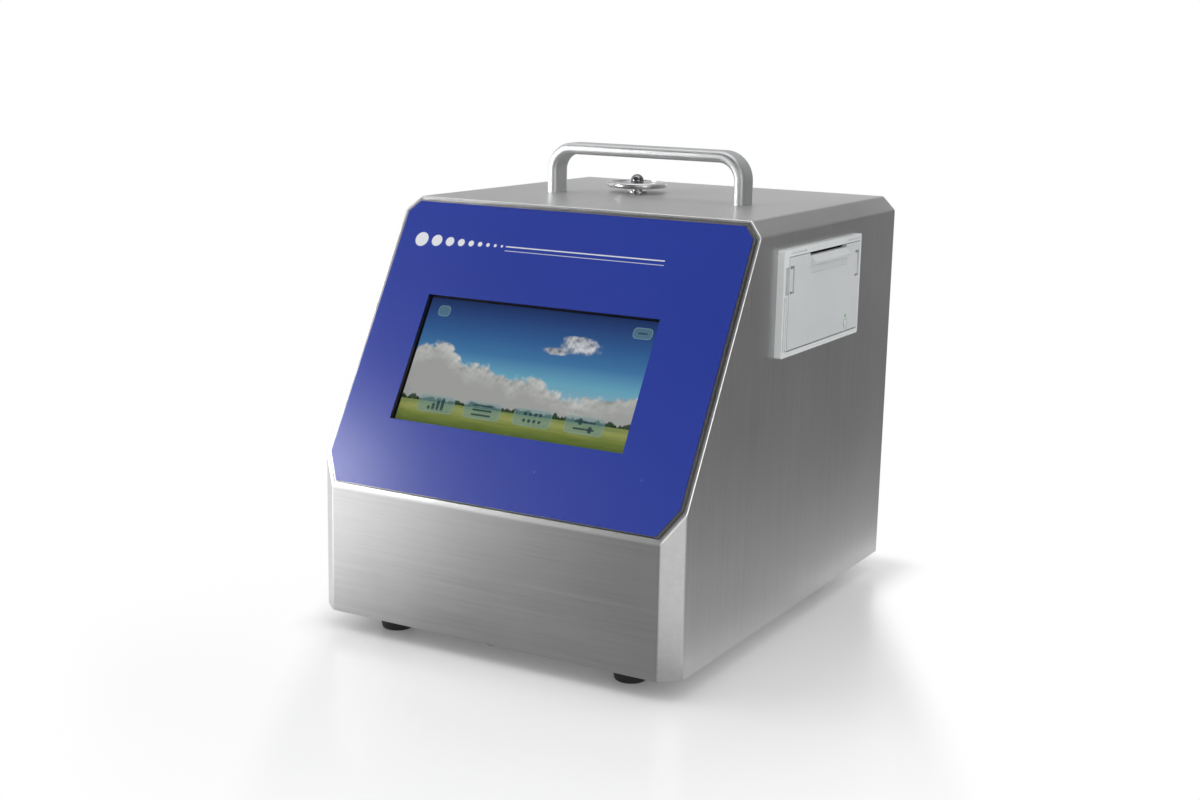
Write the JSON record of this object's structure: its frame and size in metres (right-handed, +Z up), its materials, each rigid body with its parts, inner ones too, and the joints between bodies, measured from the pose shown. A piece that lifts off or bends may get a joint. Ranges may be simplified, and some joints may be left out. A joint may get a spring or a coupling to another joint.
{
  "type": "airborne particle counter",
  "caption": "Portable airborne particle counter with a folded stainless casing, a slanted touch screen panel, a carrying handle, a top sampling inlet and a side panel printer.",
  "frame": {"origin": "bottom centre of the bounding box, on the surface the feet stand on", "axes": "+Z up, the slanted screen panel faces -Y, +X to the printer side (right when seen from the front)"},
  "size_m": [0.248, 0.314, 0.284],
  "materials": {
    "stainless_sheet": "brushed",
    "plain_steel": "plain",
    "screw_steel": "satin",
    "polished_steel": "polished",
    "satin_aluminium": "satin",
    "black_anodised": "anodised",
    "overlay_blue": "satin film",
    "screen_glass": "clear",
    "display": "lit picture",
    "circuit_board": "solder mask",
    "abs_grey": "fine texture",
    "black_plastic": "moulded",
    "white_plastic": "moulded",
    "black_rubber": "moulded",
    "clear_tube": "silicone",
    "thermal_paper": "smooth",
    "battery_wrap": "shrink film",
    "green_lens": "lens"
  },
  "bodies": {
    "casing": {"casing_shell": "stainless_sheet", "base_plate": "stainless_sheet", "rear_panel": "stainless_sheet", "case_screws": "screw_steel", "front_panel_plate": "plain_steel", "panel_overlay": "overlay_blue", "panel_nuts": "screw_steel", "touch_glass": "screen_glass", "display_module": "display", "display_bracket": "plain_steel", "display_screws": "screw_steel", "display_board": "circuit_board", "carry_handle": "satin_aluminium", "handle_screws": "screw_steel", "inlet_nozzle": "polished_steel", "inlet_seal": "black_rubber", "inlet_nut": "screw_steel", "sample_tube": "clear_tube", "optical_chamber": "black_anodised", "laser_module": "black_anodised", "detector_unit": "satin_aluminium", "sensor_bracket": "plain_steel", "outlet_tube": "clear_tube", "blower_volute": "black_plastic", "blower_cover": "black_plastic", "blower_motor": "black_anodised", "blower_mounts": "black_rubber", "exhaust_sleeve": "clear_tube", "exhaust_filter": "white_plastic", "exhaust_nut": "white_plastic", "main_board": "circuit_board", "board_standoffs": "screw_steel", "power_supply": "plain_steel", "battery_pack": "battery_wrap", "battery_strap": "plain_steel", "fan_frame": "black_plastic", "fan_guard": "plain_steel", "fan_screws": "screw_steel", "power_inlet": "black_plastic", "switch_housing": "black_plastic", "serial_port": "screw_steel", "printer_housing": "abs_grey", "thermal_head": "satin_aluminium", "feed_motor": "black_plastic", "paper_roll": "thermal_paper", "foot_front_left": "black_rubber", "foot_front_right": "black_rubber", "foot_rear_left": "black_rubber", "foot_rear_right": "black_rubber"},
    "inlet_cap": {"inlet_cap": "polished_steel"},
    "impeller": {"blower_impeller": "white_plastic"},
    "fan_rotor": {"fan_rotor": "black_plastic"},
    "fuse_drawer": {"fuse_drawer": "black_plastic"},
    "rocker": {"power_rocker": "black_plastic"},
    "printer_door": {"printer_door": "abs_grey", "status_led": "green_lens"},
    "door_latch": {"door_latch": "abs_grey"},
    "platen": {"platen_shaft": "plain_steel", "platen_roller": "black_rubber"},
    "feed_button": {"feed_button": "abs_grey"}
  },
  "joints": [
    {"name": "cap_lift", "type": "slide", "parent": "casing", "child": "inlet_cap", "axis": [0, 0, 1], "range_m": [0, 0.03]},
    {"name": "impeller_spin", "type": "hinge", "parent": "casing", "child": "impeller", "pos_m": [-0.029, 0.055, 0.036], "axis": [0, 0, 1], "continuous": true},
    {"name": "fan_spin", "type": "hinge", "parent": "casing", "child": "fan_rotor", "pos_m": [-0.076, 0.131, 0.197], "axis": [0, 1, 0], "continuous": true},
    {"name": "fuse_drawer_pull", "type": "slide", "parent": "casing", "child": "fuse_drawer", "axis": [0, 1, 0], "range_m": [0, 0.018]},
    {"name": "power_rocker_tip", "type": "hinge", "parent": "casing", "child": "rocker", "pos_m": [0.078, 0.14, 0.086], "axis": [0, 0, 1], "range_deg": [-20, 0]},
    {"name": "printer_door_hinge", "type": "hinge", "parent": "casing", "child": "printer_door", "pos_m": [0.1188, 0.01725, 0.1773], "axis": [0, 1, 0], "range_deg": [0, 95]},
    {"name": "door_latch_press", "type": "hinge", "parent": "printer_door", "child": "door_latch", "pos_m": [0.1132, 0.01725, 0.216], "axis": [0, -1, 0], "range_deg": [0, 14], "stiffness_Nm_per_rad": 0.02, "springref_deg": -8.59},
    {"name": "platen_spin", "type": "hinge", "parent": "printer_door", "child": "platen", "pos_m": [0.1104, 0.0205, 0.2236], "axis": [0, 1, 0], "continuous": true},
    {"name": "feed_button_press", "type": "slide", "parent": "printer_door", "child": "feed_button", "axis": [-1, 0, 0], "range_m": [0, 0.0008], "stiffness_N_per_m": 400, "springref_m": -0.0005}
  ]
}
